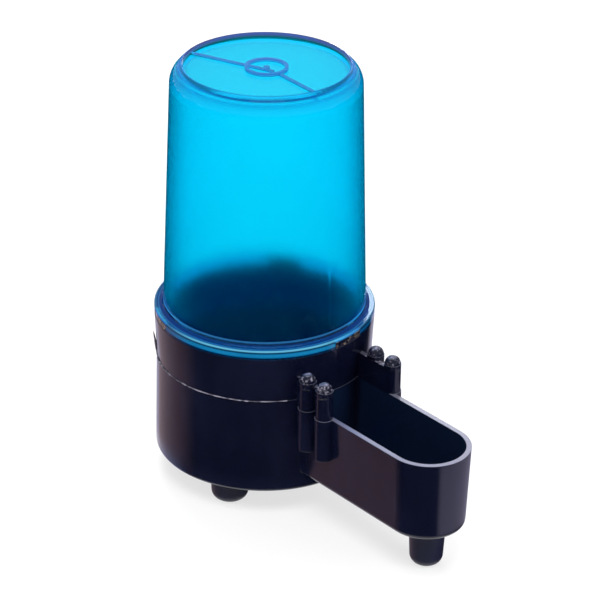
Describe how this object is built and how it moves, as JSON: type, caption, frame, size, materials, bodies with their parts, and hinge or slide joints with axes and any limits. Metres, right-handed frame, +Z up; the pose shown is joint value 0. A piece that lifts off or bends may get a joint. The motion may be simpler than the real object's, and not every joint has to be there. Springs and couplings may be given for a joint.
{
  "type": "pet waterer",
  "caption": "Cage drinker: a clear blue reservoir stands mouth down in a round black cup that feeds an open trough, with ribs that seat on cage wires.",
  "frame": {"origin": "on the table, under the middle of the plan outline of the whole drinker", "axes": "+Z up along the cup's and the reservoir's axis, +X along the trough towards its tip, +Y to the left when looking along the trough from the cup"},
  "size_m": [0.1137, 0.0634, 0.126],
  "materials": {
    "black_plastic": "gloss",
    "blue_plastic": "gloss, translucent"
  },
  "bodies": {
    "base_body": {"base": "black_plastic"},
    "reservoir_body": {"reservoir": "blue_plastic"}
  },
  "joints": [
    {"name": "reservoir_lift", "type": "slide", "parent": "base_body", "child": "reservoir_body", "axis": [0, 0, 1], "range_m": [0, 0.04]}
  ]
}
